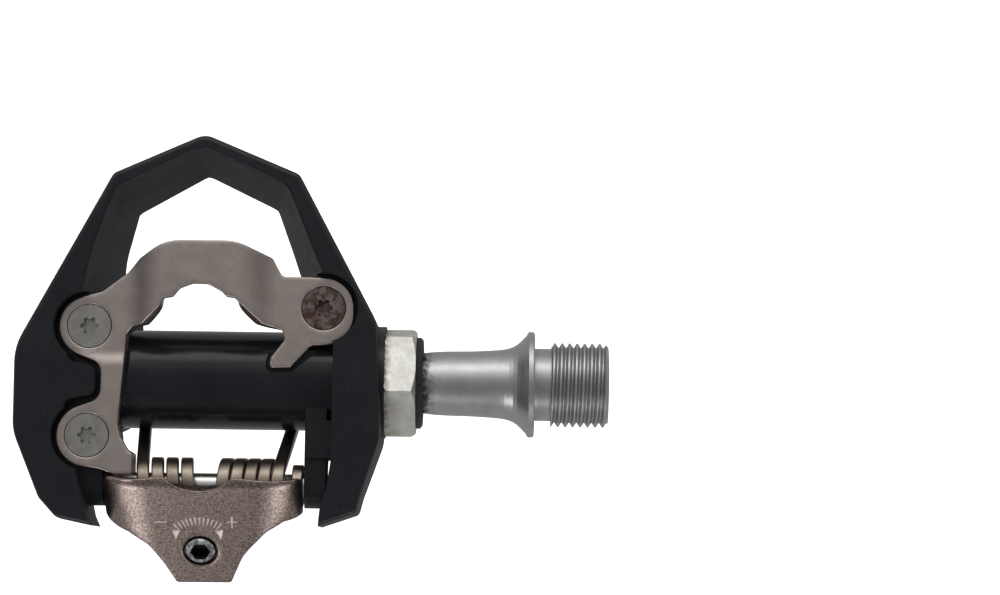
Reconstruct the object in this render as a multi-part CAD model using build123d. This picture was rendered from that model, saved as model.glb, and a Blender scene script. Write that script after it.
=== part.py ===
from build123d import *
import math
import os

# Single-sided clipless pedal for the rider's left foot, in millimetres.
# The spindle axis is X and the crank side is +X. +Y is forwards, +Z is the cleat side.
# The origin is on the spindle axis, in the plane of the collar face that seats on the crank.

# Heights above the spindle axis
BODY_TOP = 10.9
FRONT_LOBE_TOP = 8.9
REAR_LOBE_TOP = 9.4
ARCH_TOP = 12.8
LIP_TOP = 12.0
SHEET = 2.0
BARREL_UNDERSIDE = -8.6

# Body
BARREL_R = 8.35
BORE_R = 6.2
BORE_END_X = -80.0
HUB_FACE_X = -25.2
HUB_BOSS_R = 9.5
HUB_BOSS_END_X = -30.0
BARREL_START_X = -84.0
BARREL_END_X = -29.0
FAR_LEFT_X = -90.0
FAR_RIGHT_X = -20.0
WINDOW_DRAFT = 14.0
WEB_X = -69.6
EDGE_ROUND = 0.9
RIM_ROUND = 0.5
POCKET_GAP = 0.75
LOBE_R = 5.1
BOSS_R = 4.4
BOSS_LOW_Z = -4.0
STOP_BLOCK = (-38.1, -33.0, -13.3, -7.0, -3.5, 7.6)
PIN_EAR_LEFT_X = -76.6
PIN_EAR_RIGHT_X = -34.8
PIN_EAR_GAP = 0.25

# Plate screws, centres in plan
FRONT_LEFT = (-74.6, 8.2)
REAR_LEFT = (-74.5, -10.1)
FRONT_RIGHT = (-35.5, 11.7)
SCREW_HEAD_R = 3.6
SCREW_R = 2.5
SCREW_LENGTH = 10.0
HEAD_GAP = 0.06

# Rear claw and its pin
PIN_Y = -17.9
PIN_Z = 3.8
PIN_R = 2.0
PIN_LEFT_X = -75.6
PIN_RIGHT_X = -35.2
PIN_CLEARANCE = 0.04
CLAW_LEFT_X = -71.7
CLAW_RIGHT_X = -38.6
CLAW_LIP_Y = -18.4
CLAW_FRONT_Y = -17.0
CLAW_SLOPE = 35.0
CLAW_SHEET = 1.8
CLAW_SHOULDERS = [(-8.0, 2.6), (4.5, 3.8), (24.0, 9.5)]
EAR_R = 3.6

# Tension bolt, on the centre of the claw's slope
BOLT_X = -55.6
BOLT_DOWN_SLOPE = 12.95
BOLT_HEAD_R = 2.45
BOLT_HOLE_R = 2.6
BOLT_R = 2.0
BOLT_FLANGE_R = 3.3
BOLT_LENGTH = 7.0
BOLT_KEY = 3.0
FLANGE_GAP = 0.08
ADJUSTER_SIZE = (12.0, 7.0, 1.5)
ADJUSTER_DEPTH = 3.3

# Torsion springs
SPRING_R = 3.8
WIRE_THICK = 1.6
WIRE_WIDE = 2.1
LEG_SWELL = 0.03
LEG_OVERLAP = 0.7
FRONT_LEG = 14.0
REAR_LEG = 5.2
LEFT_SPRING_OUTER_X = -65.7
LEFT_SPRING_PITCH = 2.42
RIGHT_SPRING_OUTER_X = -42.4
RIGHT_SPRING_PITCH = 2.28

# Spindle: radii and stations along X
THREAD_PITCH = 1.27
THREAD_R = 7.14
THREAD_DEPTH = 0.72
THREAD_START_X = 2.8
SPINDLE_END_X = 12.5
COLLAR_R = 8.975
NECK_R = 5.12
NECK_END_X = -31.9
JOURNAL_R = 3.4
HEX_KEY = 8.0
HEX_KEY_DEPTH = 8.0

# Lock bolt, seals and bearings
LOCK_HEX = 17.0
LOCK_HEX_END_X = -20.0
LOCK_THREAD_R = 6.8
LOCK_BORE_R = 5.18
SEAL_OUTER_R = 8.3
SEAL_THICK = 0.7
CUP_R = 5.8
BALL_R = 1.19
BALL_RING_R = 4.6
BALL_COUNT = 12
INBOARD_BALL_X = -33.2
LOCK_END_X = -35.0
SLEEVE_END_X = -72.6
OUTBOARD_BALL_X = -71.3
CONE_START_X = -72.55
NUT_START_X = -75.2
NUT_END_X = -77.4
STUB_R = 2.8


def prism_z(outline, z_low, z_high):
    """An outline in plan, extruded between two heights."""
    return Pos(0, 0, z_low) * extrude(make_face(outline), z_high - z_low)


def prism_x(outline, x_low, x_high):
    """An outline of (y, z) points, extruded along X."""
    return extrude(Plane.YZ.offset(x_low) * make_face(outline), x_high - x_low)


def prism_y(outline, y_low, y_high):
    """An outline of (x, z) points, extruded along Y."""
    return extrude(Plane.XZ.offset(-y_high) * make_face(outline), y_high - y_low)


def rounded(corners):
    """A closed outline from (a, b, corner radius) triples."""
    points = [(a, b) for a, b, _ in corners]
    return FilletPolyline(*points, radius=[r for _, _, r in corners], close=True)


def block(x_low, x_high, y_low, y_high, z_low, z_high):
    """A box between two corners."""
    size = (x_high - x_low, y_high - y_low, z_high - z_low)
    centre = ((x_high + x_low) / 2, (y_high + y_low) / 2, (z_high + z_low) / 2)
    return Pos(*centre) * Box(*size)


def post(x, y, radius, z_low, z_high):
    """An upright cylinder."""
    return Pos(x, y, (z_low + z_high) / 2) * Cylinder(radius, z_high - z_low)


def rod(radius, x_low, x_high, y=0.0, z=0.0):
    """A cylinder along X."""
    return Pos((x_low + x_high) / 2, y, z) * Rot(0, 90, 0) * Cylinder(radius, x_high - x_low)


def tube(outer_r, inner_r, x_low, x_high):
    """A tube along the spindle axis."""
    return rod(outer_r, x_low, x_high) - rod(inner_r, x_low - 1, x_high + 1)


def turned(profile):
    """A closed (x, radius) profile turned about the spindle axis."""
    return revolve(make_face(Polyline(*profile, close=True)), axis=Axis.X)


def fillet_near(shape, points, radius):
    """Fillet the edges whose middles are nearest to the given points."""
    edges = [min(shape.edges(), key=lambda e: (e.center() - Vector(*p)).length) for p in points]
    return fillet(edges, radius)


# ---------------------------------------------------------------- body


def body_silhouette():
    """Outside of the two arms and the hexagonal front loop, in plan, closed across the tips."""
    return rounded([
        (-55.9, 40.7, 3.5), (-39.9, 34.1, 2.0), (-26.5, 9.4, 6.0), (-25.6, -9.9, 8.0),
        (-28.7, -19.6, 2.0), (-29.4, -22.5, 1.2), (-36.0, -24.8, 0.0), (-72.6, -25.2, 0.0),
        (-79.0, -23.9, 3.0), (-82.1, -20.5, 2.0),
        (-86.7, -9.5, 9.0), (-86.8, 4.5, 10.0), (-71.1, 33.9, 2.0),
    ])


def body_side_profile():
    """The thin wedge that the body makes when seen along the spindle, as (y, z)."""
    return rounded([
        (-27.0, BODY_TOP, 0.0), (-27.0, -1.0, 0.0), (-21.0, -2.5, 6.0), (-10.0, BARREL_UNDERSIDE, 6.0),
        (9.0, BARREL_UNDERSIDE, 8.0), (22.0, -4.2, 12.0), (42.0, 0.2, 0.0), (42.0, BODY_TOP, 0.0),
    ])


def cage_window():
    """The tapered opening inside the front loop."""
    rim = rounded([
        (-76.4, 12.0, 0.0), (-74.1, 21.8, 0.0), (-70.9, 31.0, 2.2), (-56.3, 38.5, 3.0),
        (-41.8, 32.1, 3.2), (-35.8, 17.9, 0.0), (-35.8, 2.0, 0.0), (WEB_X - 3.0, 2.0, 0.0),
        (WEB_X - 3.0, 9.5, 0.0),
    ])
    depth = BODY_TOP - BARREL_UNDERSIDE + 1.0
    face = Pos(0, 0, BODY_TOP) * make_face(rim)
    return extrude(face, depth, dir=(0, 0, -1), taper=WINDOW_DRAFT)


def rear_gap():
    """The space between the arms, from the barrel to the tips."""
    return prism_z(
        Polyline(
            (WEB_X, 6.0), (WEB_X, -8.0), (-76.0, -11.0), (-76.0, -16.4), (-74.1, -23.3), (-72.3, -27.0),
            (-35.9, -27.0), (-35.4, -21.8), (-34.4, -18.7), (-33.7, -13.7), (-33.7, 6.0), close=True,
        ),
        BARREL_UNDERSIDE - 1.0, BODY_TOP + 1.0,
    )


def pin_ear(x_low, x_high):
    """An inner arm that carries one end of the claw's pin."""
    outline = rounded([
        (-3.0, -6.5, 0.0), (-3.0, 6.8, 0.0), (-14.5, 6.8, 1.5), (-21.6, 6.6, 3.2),
        (-21.6, 0.2, 3.2), (-14.0, -1.2, 2.0),
    ])
    return prism_x(outline, x_low, x_high)


def plate_pocket():
    """Recess in the arms that the front plate's lobes and strip lie in."""
    spread = offset(plate_plan(), POCKET_GAP)
    high = BODY_TOP + 5.0
    front = extrude(Pos(0, 0, FRONT_LOBE_TOP - SHEET) * spread, high)
    rear = extrude(Pos(0, 0, REAR_LOBE_TOP - SHEET) * spread, high)
    bend_y = 0.9
    ahead = block(FAR_LEFT_X, FAR_RIGHT_X, bend_y, 40, 0, 30)
    behind = block(FAR_LEFT_X, FAR_RIGHT_X, -30, bend_y, 0, 30)
    return (front & ahead) + (rear & behind)


def tip_facets():
    """Wedges that slope the rear tips of the two arms down."""
    slope = 38.0
    corner = (Align.CENTER, Align.MAX, Align.MIN)
    facets = []
    for x, y, turn, width in ((-78.2, -21.9, -20.0, 14.0), (-32.2, -20.8, 18.0, 12.0)):
        wedge = Rot(-slope, 0, 0) * Box(width, 8.0, 4.0, align=corner)
        facets.append(Pos(x, y, BODY_TOP) * Rot(0, 0, turn) * wedge)
    return facets[0] + facets[1]


def pedal_body():
    """One casting: the barrel, both arms, the front loop, the pin ears and the screw bosses."""
    low = BARREL_UNDERSIDE - 1.0
    body = prism_z(body_silhouette(), low, BODY_TOP)
    body = body & prism_x(body_side_profile(), FAR_LEFT_X, FAR_RIGHT_X)
    body = fillet(body.faces().sort_by(Axis.Z)[-1].outer_wire().edges(), EDGE_ROUND)
    body = body - tip_facets()
    body = body - cage_window()
    body = fillet(body.faces().sort_by(Axis.Z)[-1].inner_wires()[0].edges(), RIM_ROUND)
    body = body - rear_gap()
    body = body + rod(BARREL_R, BARREL_START_X, BARREL_END_X)
    body = body + rod(HUB_BOSS_R, HUB_BOSS_END_X, HUB_FACE_X)
    body = body + pin_ear(PIN_EAR_LEFT_X, CLAW_LEFT_X - PIN_EAR_GAP)
    body = body + pin_ear(CLAW_RIGHT_X + PIN_EAR_GAP, PIN_EAR_RIGHT_X)
    body = body + block(*STOP_BLOCK)
    for x, y, top in screw_places():
        body = body + post(x, y, BOSS_R, BOSS_LOW_Z, top)
    body = body - plate_pocket()
    body = body - rod(BORE_R, BORE_END_X, HUB_FACE_X + 1.0)
    body = body - rod(LOCK_THREAD_R, LOCK_END_X, HUB_FACE_X + 1.0)
    body = body - rod(SEAL_OUTER_R, HUB_FACE_X - SEAL_THICK, HUB_FACE_X + 1.0)
    body = body - rod(PIN_R, PIN_LEFT_X, PIN_RIGHT_X, PIN_Y, PIN_Z)
    for x, y, top in screw_places():
        body = body - post(x, y, SCREW_R, top - SCREW_LENGTH, top + 3.0)
    return body


# ---------------------------------------------------------------- front plate


def screw_places():
    """Centre and head height of each plate screw."""
    return [
        (*FRONT_LEFT, FRONT_LOBE_TOP),
        (*REAR_LEFT, REAR_LOBE_TOP),
        (*FRONT_RIGHT, FRONT_LOBE_TOP),
    ]


def plate_plan():
    """Flat outline of the front plate: arch, strip, tab and the three screw lobes."""
    outline = rounded([
        (-76.5, 9.0, 0.0), (-75.4, 13.2, 0.0), (-72.6, 14.0, 2.0), (-68.4, 17.2, 0.3),
        (-65.8, 20.4, 3.5), (-60.5, 22.5, 9.0), (-50.0, 22.5, 6.0), (-44.3, 20.2, 2.0),
        (-43.0, 17.0, 1.4), (-35.5, 16.8, 0.0), (-33.0, 12.0, 0.0), (-33.6, 7.0, 0.0),
        (-37.0, 5.2, 1.0), (-40.9, 1.7, 0.4), (-44.4, 1.5, 0.6), (-44.2, 3.4, 0.8),
        (-41.8, 6.4, 0.8), (-42.3, 7.9, 0.4), (-45.3, 8.7, 0.8), (-49.1, 12.1, 0.5),
        (-50.2, 12.9, 0.4), (-51.7, 13.2, 0.5), (-54.4, 15.3, 2.0), (-57.8, 15.1, 2.0),
        (-60.2, 13.0, 0.4), (-61.7, 12.8, 0.4), (-62.6, 11.5, 0.5), (-65.8, 8.5, 0.8),
        (-67.6, 8.2, 0.6), (-68.4, 6.7, 0.5), (-68.7, 1.3, 0.0), (-69.3, -8.0, 1.0),
        (-69.0, -10.0, 1.0), (-67.3, -12.6, 0.8), (-65.9, -13.1, 0.3), (-65.9, -16.3, 0.3),
        (-72.5, -15.7, 1.5), (-76.0, -14.8, 0.0), (-78.0, -9.0, 0.0), (-77.4, -4.8, 0.8),
        (-72.5, -3.9, 2.2), (-72.5, 1.9, 2.2), (-77.4, 2.9, 0.8),
    ])
    plan = make_face(outline)
    for x, y, _ in screw_places():
        plan = plan + Pos(x, y) * Circle(LOBE_R)
    return plan


def sheet_band(top, radii):
    """Closed section of a bent sheet, from the points of its top line."""
    below = []
    for i, (a, z) in enumerate(top):
        before = top[max(i - 1, 0)]
        after = top[min(i + 1, len(top) - 1)]
        turn_in = math.atan2(z - before[1], a - before[0]) if i else 0.0
        turn_out = math.atan2(after[1] - z, after[0] - a) if i < len(top) - 1 else 0.0
        middle = (turn_in + turn_out) / 2
        reach = SHEET / math.cos((turn_out - turn_in) / 2)
        below.append((a + reach * math.sin(middle), z - reach * math.cos(middle)))
    corners = [(a, z, r) for (a, z), r in zip(top, radii)]
    corners += [(a, z, r) for (a, z), r in zip(reversed(below), reversed(radii))]
    return rounded(corners)


def countersink(x, y, top, gap):
    """Head and shank of a plate screw, grown by a gap, for the screw and for its hole."""
    head = SCREW_HEAD_R + gap
    shank = SCREW_R + gap
    profile = Polyline(
        (0, top), (head, top), (head, top - 0.5), (shank, top - 1.6), (shank, top - SCREW_LENGTH),
        (0, top - SCREW_LENGTH), close=True,
    )
    return Pos(x, y, 0) * revolve(Plane.XZ * make_face(profile), axis=Axis.Z)


def front_plate():
    """Pressed steel plate: the raised arch is the front claw, the lobes are screwed down."""
    plan = Pos(0, 0, -5) * extrude(plate_plan(), 30)
    low = FRONT_LOBE_TOP
    arch = sheet_band(
        [(-84.0, low), (-68.6, low), (-62.4, ARCH_TOP), (-49.3, ARCH_TOP), (-43.4, low), (-28.0, low)],
        [0.0, 2.2, 2.6, 2.6, 2.2, 0.0],
    )
    ramp_low = 4.1
    ramp_high = 1.6
    strip = sheet_band(
        [(-20.0, REAR_LOBE_TOP), (ramp_high, REAR_LOBE_TOP), (ramp_low, low), (9.0, low)],
        [0.0, 1.5, 1.5, 0.0],
    )
    sheet = prism_y(arch, ramp_low + 0.8, 24.0)
    sheet = sheet + (prism_x(strip, -84.0, -64.0) & block(-90, -60, -20, ramp_low + 0.8, 0, 20))
    sheet = sheet + block(-46.0, -28.0, 0.0, 8.4, low - SHEET, low)
    plate = plan & sheet
    plate = plate - block(-67.4, -64.0, -18.0, -10.0, 0.0, REAR_LOBE_TOP - 1.0)
    for x, y, top in screw_places():
        plate = plate - countersink(x, y, top, HEAD_GAP) - post(x, y, SCREW_HEAD_R, top, top + 2)
    return plate


def plate_screw(x, y, top):
    """Flat countersunk screw with a six-lobed socket."""
    screw = countersink(x, y, top, 0.0)
    socket_depth = 1.5
    lobe_ring_r = 1.2
    socket = post(x, y, 1.12, top - socket_depth, top + 1)
    for i in range(6):
        angle = math.radians(60 * i)
        lobe_x = x + lobe_ring_r * math.cos(angle)
        lobe_y = y + lobe_ring_r * math.sin(angle)
        socket = socket + post(lobe_x, lobe_y, 0.36, top - socket_depth, top + 1)
    return screw - socket


# ---------------------------------------------------------------- rear claw


def slope_plane(x=0.0, down_slope=0.0, lift=0.0):
    """Plane on the claw's slope: local x along X, local y up the slope, local z out of it."""
    a = math.radians(CLAW_SLOPE)
    y = CLAW_LIP_Y - down_slope * math.cos(a) - lift * math.sin(a)
    z = LIP_TOP - down_slope * math.sin(a) + lift * math.cos(a)
    return Plane(origin=(x, y, z), x_dir=(1, 0, 0), z_dir=(0, -math.sin(a), math.cos(a)))


def claw_plan():
    """Outline of the claw in plan, with the curved cut-out in its lip."""
    face = make_face(rounded([
        (CLAW_LEFT_X, CLAW_FRONT_Y, 0.6), (CLAW_RIGHT_X, CLAW_FRONT_Y, 0.6),
        (CLAW_RIGHT_X, -22.8, 1.0), (-44.4, -25.7, 3.0), (-48.4, -29.9, 2.0), (-50.6, -34.2, 0.6),
        (-59.9, -34.3, 0.6), (-61.8, -31.2, 2.0), (-64.3, -28.1, 3.0), (-67.5, -26.1, 2.0),
        (CLAW_LEFT_X, -23.2, 1.0),
    ]))
    cut_r = 7.7
    cut_low_y = -19.4
    return face - Pos(BOLT_X, cut_low_y + cut_r) * Circle(cut_r)


def claw_channel(inset):
    """Inverted channel run down the slope, its shoulders rounder towards the tail."""
    left = CLAW_LEFT_X + inset
    right = CLAW_RIGHT_X - inset
    leg_z = -16.0
    sections = []
    for down_slope, shoulder_r in CLAW_SHOULDERS:
        r = shoulder_r - inset
        outline = rounded([(left, leg_z, 0.0), (left, -inset, r), (right, -inset, r), (right, leg_z, 0.0)])
        level = slope_plane(0, down_slope)
        across = Plane(origin=level.origin, x_dir=(1, 0, 0), z_dir=-level.y_dir)
        sections.append(across * make_face(outline))
    return loft(sections, ruled=True)


def claw_side():
    """Side view of the claw: lip, slope, skirt and the ears round the pin, as (y, z)."""
    slope_end_y = -36.0
    drop = math.tan(math.radians(CLAW_SLOPE)) * (CLAW_LIP_Y - slope_end_y)
    skirt = make_face(Polyline(
        (CLAW_FRONT_Y + 0.01, LIP_TOP), (CLAW_LIP_Y, LIP_TOP), (slope_end_y, LIP_TOP - drop + 0.05),
        (slope_end_y, -6.0), (-28.5, 0.8), (-24.0, 2.6), (-20.5, 1.4), (-17.9, PIN_Z),
        (CLAW_FRONT_Y + 0.01, PIN_Z + 2.0), close=True,
    ))
    return skirt + Pos(PIN_Y, PIN_Z) * Circle(EAR_R)


def rear_claw():
    """Sprung rear jaw: a forged channel with an overhanging lip and two pivot ears."""
    claw = claw_channel(0.0) - claw_channel(CLAW_SHEET)
    claw = claw & extrude(Plane.YZ.offset(FAR_LEFT_X) * claw_side(), FAR_RIGHT_X - FAR_LEFT_X)
    low = -10.0
    ears = block(CLAW_LEFT_X, CLAW_RIGHT_X, -26.0, -12.0, low, PIN_Z + EAR_R)
    claw = claw & (ears + extrude(Pos(0, 0, low) * claw_plan(), 40))
    claw = claw - rod(PIN_R + PIN_CLEARANCE, FAR_LEFT_X, FAR_RIGHT_X, PIN_Y, PIN_Z)
    return claw - extrude(slope_plane(BOLT_X, BOLT_DOWN_SLOPE, -5) * Circle(BOLT_HOLE_R), 10)


def pivot_pin():
    """Plain steel pin through the ears, the claw and the springs."""
    return rod(PIN_R, PIN_LEFT_X, PIN_RIGHT_X, PIN_Y, PIN_Z)


def tension_bolt():
    """Socket head bolt, held in the claw by a flange below the sheet."""
    flange_top = -CLAW_SHEET - FLANGE_GAP
    flange_low = -CLAW_SHEET - 0.6
    profile = Polyline(
        (0, 0.2), (BOLT_HEAD_R - 0.3, 0.2), (BOLT_HEAD_R, -0.1), (BOLT_HEAD_R, flange_top),
        (BOLT_FLANGE_R, flange_top), (BOLT_FLANGE_R, flange_low), (BOLT_R, flange_low),
        (BOLT_R, 0.3 - BOLT_LENGTH), (BOLT_R - 0.3, -BOLT_LENGTH), (0, -BOLT_LENGTH), close=True,
    )
    bolt = revolve(Plane.XZ * make_face(profile), axis=Axis.Z)
    key_r = BOLT_KEY / math.sqrt(3)
    bolt = bolt - Pos(0, 0, -1.9) * extrude(RegularPolygon(key_r, 6), 4)
    return slope_plane(BOLT_X, BOLT_DOWN_SLOPE) * bolt


def adjuster_plate():
    """Nut plate below the claw that the springs' rear legs push on."""
    plate = Pos(0, 0.1, -ADJUSTER_DEPTH) * Box(*ADJUSTER_SIZE)
    plate = plate - Cylinder(BOLT_R + 0.04, 20)
    return slope_plane(BOLT_X, BOLT_DOWN_SLOPE) * plate


# ---------------------------------------------------------------- springs


def wire_run(start, end, across):
    """A straight run of flat spring wire; across is roughly the wire's thin direction."""
    along = (end - start).normalized()
    plane = Plane(origin=start, x_dir=across - along * across.dot(along), z_dir=along)
    section = Rectangle(WIRE_THICK + LEG_SWELL, WIRE_WIDE + LEG_SWELL)
    return extrude(plane * section, (end - start).length)


def torsion_spring(outer_x, pitch, whole_turns):
    """Spring wound towards +X from its outer end: front leg, coil and rear leg."""
    start_angle = 32.1
    end_angle = 148.6
    turns = whole_turns + (end_angle - start_angle) / 360.0
    coil = Helix(pitch, pitch * turns, SPRING_R)
    path = Pos(outer_x, PIN_Y, PIN_Z) * Plane.YZ.location * Rot(0, 0, start_angle) * coil
    path = path.edges()[0]
    begin = path @ 0
    finish = path @ 1
    radial = (begin - Vector(begin.X, PIN_Y, PIN_Z)).normalized()
    section = Plane(origin=begin, x_dir=radial, z_dir=path % 0) * Rectangle(WIRE_THICK, WIRE_WIDE)
    spring = sweep(section, path=path, is_frenet=True)
    leg_drift = Vector(-1.2, 0, 0)
    out = Vector(0, radial.Y, radial.Z)
    forward = Vector(0, out.Z, -out.Y)
    knee = begin + forward * FRONT_LEG + leg_drift
    toe = knee + Vector(0, 2.33, -1.89)
    spring = spring + wire_run(begin - forward * LEG_OVERLAP, knee, out)
    spring = spring + wire_run(knee, toe, out)
    spring = spring + Pos(*knee) * Rot(0, 90, 0) * Cylinder(WIRE_THICK / 2, WIRE_WIDE)
    back_out = (finish - Vector(finish.X, PIN_Y, PIN_Z)).normalized()
    back = Vector(0, -back_out.Z, back_out.Y)
    return spring + wire_run(finish - back * LEG_OVERLAP, finish + back * REAR_LEG, back_out)


def left_spring():
    """Left torsion spring."""
    return torsion_spring(LEFT_SPRING_OUTER_X, LEFT_SPRING_PITCH, 3)


def right_spring():
    """Right torsion spring, the mirror image in winding and one turn longer."""
    return mirror(torsion_spring(-RIGHT_SPRING_OUTER_X, RIGHT_SPRING_PITCH, 4), about=Plane.YZ)


# ---------------------------------------------------------------- spindle and bearings


def spindle():
    """Turned steel spindle with the crank thread, collar, flared neck and bearing journal."""
    curve = Spline(
        (-1.3, 8.45), (-2.0, 7.75), (-3.0, 6.8), (-4.4, 6.12), (-6.5, 5.8), (-10.0, 5.58), (-19.0, NECK_R),
    )
    flare = [curve @ (i / 24) for i in range(25)]
    flare = [(point.X, point.Y) for point in flare]
    profile = [
        (SPINDLE_END_X, 0), (SPINDLE_END_X, THREAD_R - 0.6), (SPINDLE_END_X - 0.6, THREAD_R),
        (THREAD_START_X, THREAD_R), (THREAD_START_X, 6.15), (0, 6.15), (0, COLLAR_R - 0.25),
        (-0.25, COLLAR_R), (-1.0, COLLAR_R), (-1.3, COLLAR_R - 0.3), *flare,
        (NECK_END_X, NECK_R), (NECK_END_X, JOURNAL_R), (CONE_START_X, JOURNAL_R),
        (CONE_START_X, STUB_R), (NUT_END_X - 0.6, STUB_R), (NUT_END_X - 0.6, 0),
    ]
    solid = turned(profile)
    key_r = HEX_KEY / math.sqrt(3)
    socket_floor = Plane.YZ.offset(SPINDLE_END_X - HEX_KEY_DEPTH)
    key = extrude(socket_floor * RegularPolygon(key_r, 6), HEX_KEY_DEPTH + 1)
    return solid - key - thread_grooves()


def thread_grooves():
    """Left-hand V groove of the crank thread, as one helical cut."""
    run_in = THREAD_PITCH
    length = SPINDLE_END_X - THREAD_START_X + 2 * run_in
    start_x = THREAD_START_X - run_in
    coil = Helix(THREAD_PITCH, length, THREAD_R, lefthand=True)
    path = Pos(start_x, 0, 0) * Plane.YZ.location * coil
    path = path.edges()[0]
    begin = path @ 0
    out = Vector(0, begin.Y, begin.Z).normalized()
    half = THREAD_PITCH * 0.44
    above = 0.25
    root = 0.08
    wide = half + 0.1
    profile = Polyline(
        (above, -wide), (above, wide), (-THREAD_DEPTH, root), (-THREAD_DEPTH, -root), close=True,
    )
    section = Plane(origin=begin, x_dir=out, z_dir=path % 0) * make_face(profile)
    return sweep(section, path=path, is_frenet=True)


def lock_bolt():
    """Hexagon cartridge bolt that screws into the barrel and forms the inboard cup."""
    hexagon_r = LOCK_HEX / math.sqrt(3)
    turn = -18.0
    hexagon = Plane.YZ.offset(HUB_FACE_X) * Rot(0, 0, turn) * RegularPolygon(hexagon_r, 6)
    head = extrude(hexagon, LOCK_HEX_END_X - HUB_FACE_X)
    chamfer_cone = turned([
        (HUB_FACE_X, 0), (HUB_FACE_X, hexagon_r - 0.3), (HUB_FACE_X + 0.4, hexagon_r + 0.1),
        (LOCK_HEX_END_X - 0.75, hexagon_r + 0.1), (LOCK_HEX_END_X, hexagon_r - 1.25),
        (LOCK_HEX_END_X, 0),
    ])
    bolt = (head & chamfer_cone) + rod(LOCK_THREAD_R, LOCK_END_X, HUB_FACE_X)
    cup_x = NECK_END_X - 0.02
    return bolt - rod(LOCK_BORE_R, LOCK_END_X - 1, LOCK_HEX_END_X + 1) - rod(CUP_R, LOCK_END_X - 1, cup_x)


def dust_seal():
    """Rubber dust seal on the outer face of the lock bolt."""
    start_x = LOCK_HEX_END_X
    outer_r = 7.75
    return turned([
        (start_x, LOCK_BORE_R + 0.02), (start_x, outer_r), (start_x + 0.7, outer_r),
        (start_x + 1.1, outer_r - 0.45), (start_x + 1.1, LOCK_BORE_R + 0.06),
    ])


def body_seal():
    """Rubber ring between the lock bolt's head and the body."""
    return tube(SEAL_OUTER_R, LOCK_THREAD_R, HUB_FACE_X - SEAL_THICK, HUB_FACE_X)


def bearing_sleeve():
    """Sleeve in the barrel that spaces the bearings and forms the outboard cup."""
    sleeve = tube(BORE_R, BALL_RING_R, SLEEVE_END_X, LOCK_END_X)
    return sleeve - rod(CUP_R, SLEEVE_END_X - 1, OUTBOARD_BALL_X + BALL_R + 0.02)


def ball_set(x):
    """Ring of loose bearing balls, each its own solid."""
    balls = []
    for i in range(BALL_COUNT):
        angle = 2 * math.pi * i / BALL_COUNT
        y = BALL_RING_R * math.cos(angle)
        z = BALL_RING_R * math.sin(angle)
        balls.append(Pos(x, y, z) * Sphere(BALL_R))
    return Compound(children=balls)


def bearing_cone():
    """Threaded cone that closes the outboard bearing."""
    cone_r = 4.7
    return turned([
        (CONE_START_X, STUB_R), (CONE_START_X, cone_r - 0.5), (CONE_START_X - 0.5, cone_r),
        (NUT_START_X, cone_r), (NUT_START_X, STUB_R),
    ])


def lock_nut():
    """Hexagon nut that locks the cone."""
    nut_flats = 9.0
    hexagon = Plane.YZ.offset(NUT_END_X) * RegularPolygon(nut_flats / math.sqrt(3), 6)
    nut = extrude(hexagon, NUT_START_X - NUT_END_X)
    return nut - rod(STUB_R, NUT_END_X - 1, NUT_START_X + 1)


def main():
    os.makedirs("parts", exist_ok=True)
    nodes = {
        "pedal_body": pedal_body(),
        "front_plate": front_plate(),
        "plate_screw_front_left": plate_screw(*screw_places()[0]),
        "plate_screw_rear_left": plate_screw(*screw_places()[1]),
        "plate_screw_front_right": plate_screw(*screw_places()[2]),
        "rear_claw": rear_claw(),
        "pivot_pin": pivot_pin(),
        "tension_bolt": tension_bolt(),
        "adjuster_plate": adjuster_plate(),
        "left_spring": left_spring(),
        "right_spring": right_spring(),
        "spindle": spindle(),
        "lock_bolt": lock_bolt(),
        "dust_seal": dust_seal(),
        "body_seal": body_seal(),
        "bearing_sleeve": bearing_sleeve(),
        "inboard_balls": ball_set(INBOARD_BALL_X),
        "outboard_balls": ball_set(OUTBOARD_BALL_X),
        "bearing_cone": bearing_cone(),
        "lock_nut": lock_nut(),
    }
    for name, shape in nodes.items():
        export_step(shape, f"parts/{name}.step")


main()
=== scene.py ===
import math

import bmesh
import bpy
from mathutils import Matrix, Vector
from mathutils.geometry import delaunay_2d_cdt
from mathutils.kdtree import KDTree


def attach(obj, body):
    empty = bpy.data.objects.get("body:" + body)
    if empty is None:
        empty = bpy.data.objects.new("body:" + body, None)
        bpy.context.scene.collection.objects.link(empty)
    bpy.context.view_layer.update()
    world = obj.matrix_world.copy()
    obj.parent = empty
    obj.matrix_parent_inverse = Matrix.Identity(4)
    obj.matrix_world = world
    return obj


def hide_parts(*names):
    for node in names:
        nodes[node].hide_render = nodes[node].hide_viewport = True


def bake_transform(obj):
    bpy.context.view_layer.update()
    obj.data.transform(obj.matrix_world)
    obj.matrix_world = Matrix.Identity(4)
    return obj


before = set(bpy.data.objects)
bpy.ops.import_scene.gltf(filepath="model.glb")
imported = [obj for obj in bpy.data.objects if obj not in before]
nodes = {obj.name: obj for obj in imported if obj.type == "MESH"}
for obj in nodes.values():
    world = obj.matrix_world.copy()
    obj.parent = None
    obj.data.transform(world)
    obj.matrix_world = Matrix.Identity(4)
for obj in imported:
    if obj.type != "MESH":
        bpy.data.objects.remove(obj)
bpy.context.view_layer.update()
scene = bpy.context.scene
scene.view_settings.view_transform = "Standard"

# Shapes are worked out in the frame's millimetres: X along the spindle, +Y forwards, +Z the cleat side.
MM = 0.001


# ---------------------------------------------------------------- camera and studio

CAMERA_TILT = 6.0
CAMERA_ROLL = 0.8
CAMERA_DISTANCE = 464.3
CAMERA_AIM = (-5.83, 14.85)
CAMERA_LENS = 98.28
SENSOR_WIDTH = 36.0
FLOOR_Z = -60.0
FLOOR_SIZE = 4.0
FLOOR_GLOW = 0.85
WORLD_STRENGTH = 1.0

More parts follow.
